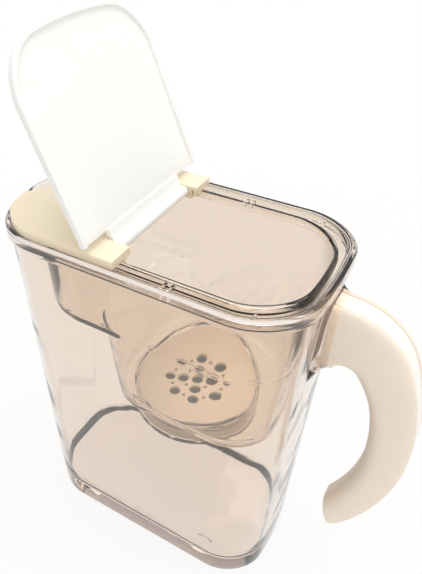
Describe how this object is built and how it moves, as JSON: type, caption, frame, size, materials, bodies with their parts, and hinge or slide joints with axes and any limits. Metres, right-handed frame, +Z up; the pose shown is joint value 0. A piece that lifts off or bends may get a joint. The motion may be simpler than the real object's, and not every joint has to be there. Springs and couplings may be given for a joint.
{
  "type": "water filter pitcher",
  "caption": "Clear upright water filter pitcher with a hanging reservoir, a drop-in disc filter, a spout cover, a flip lid that swings open past upright and an open hook handle.",
  "frame": {"origin": "centre of the jug's flat bottom", "axes": "+Z up, +X towards the handle, -X towards the spout, Y across"},
  "size_m": [0.2512, 0.112, 0.3445],
  "materials": {
    "clear_plastic": "clear, polished",
    "soft_white": "satin",
    "gloss_white": "gloss",
    "screw_steel": "zinc plated",
    "filter_white": "satin",
    "filter_frosted": "frosted",
    "seal_rubber": "matte",
    "filter_cloth": "felted",
    "carbon_grains": "granular",
    "resin_beads": "granular",
    "cream_plastic": "satin",
    "lid_white": "gloss"
  },
  "bodies": {
    "jug": {"jug_body": "clear_plastic", "handle_grip": "soft_white", "handle_cover": "gloss_white", "handle_screws": "screw_steel"},
    "reservoir": {"reservoir": "clear_plastic"},
    "cartridge": {"filter_cap": "filter_white", "filter_cup": "filter_frosted", "filter_seal": "seal_rubber", "upper_cloth": "filter_cloth", "carbon_bed": "carbon_grains", "middle_cloth": "filter_cloth", "resin_bed": "resin_beads", "lower_cloth": "filter_cloth"},
    "cover": {"front_cover": "cream_plastic"},
    "lid": {"flip_lid": "lid_white"}
  },
  "joints": [
    {"name": "reservoir_lift", "type": "slide", "parent": "jug", "child": "reservoir", "axis": [0, 0, 1], "range_m": [0, 0.12]},
    {"name": "filter_lift", "type": "slide", "parent": "reservoir", "child": "cartridge", "axis": [0, 0, 1], "range_m": [0, 0.08]},
    {"name": "cover_lift", "type": "slide", "parent": "reservoir", "child": "cover", "axis": [0, 0, 1], "range_m": [0, 0.05]},
    {"name": "lid_hinge", "type": "hinge", "parent": "cover", "child": "lid", "pos_m": [-0.014, 0, 0.2412], "axis": [0, 1, 0], "range_deg": [0, 114]}
  ]
}
